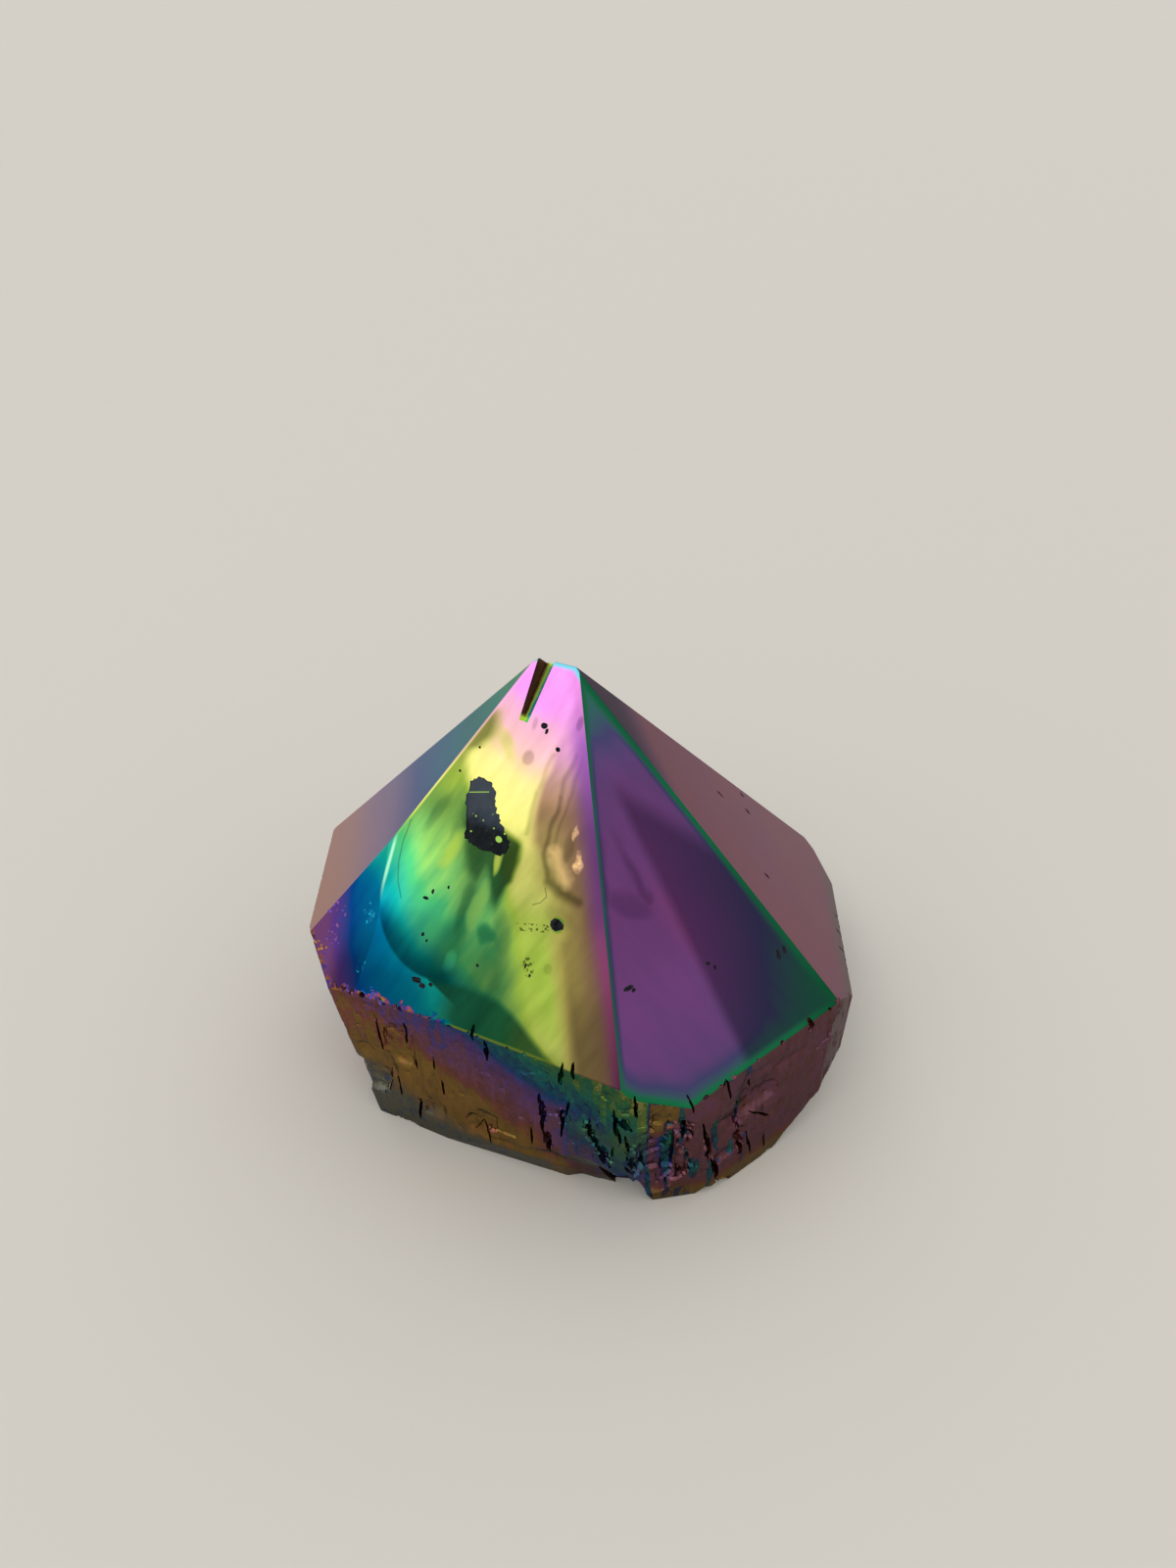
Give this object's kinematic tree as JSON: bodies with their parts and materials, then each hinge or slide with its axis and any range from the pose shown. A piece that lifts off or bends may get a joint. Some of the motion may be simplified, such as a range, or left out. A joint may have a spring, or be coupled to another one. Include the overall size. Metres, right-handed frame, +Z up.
{
  "type": "titanium aura quartz point",
  "caption": "Polished quartz crystal tip on its raw broken stump, with an iridescent metallic coat, resting on a flat ground base.",
  "frame": {"origin": "middle of the bounding box, on the surface that the stone rests on", "axes": "+Z up along the crystal's long axis; the crystal's brightest polished face and its small foot look towards -Y"},
  "size_m": [0.0636, 0.0626, 0.0507],
  "materials": {
    "aura_coated_quartz": "thin iridescent metal coat, mirror-polished on the tip's flat faces and rough on the raw sides"
  },
  "bodies": {
    "root": {"quartz_point": "aura_coated_quartz"}
  },
  "joints": []
}
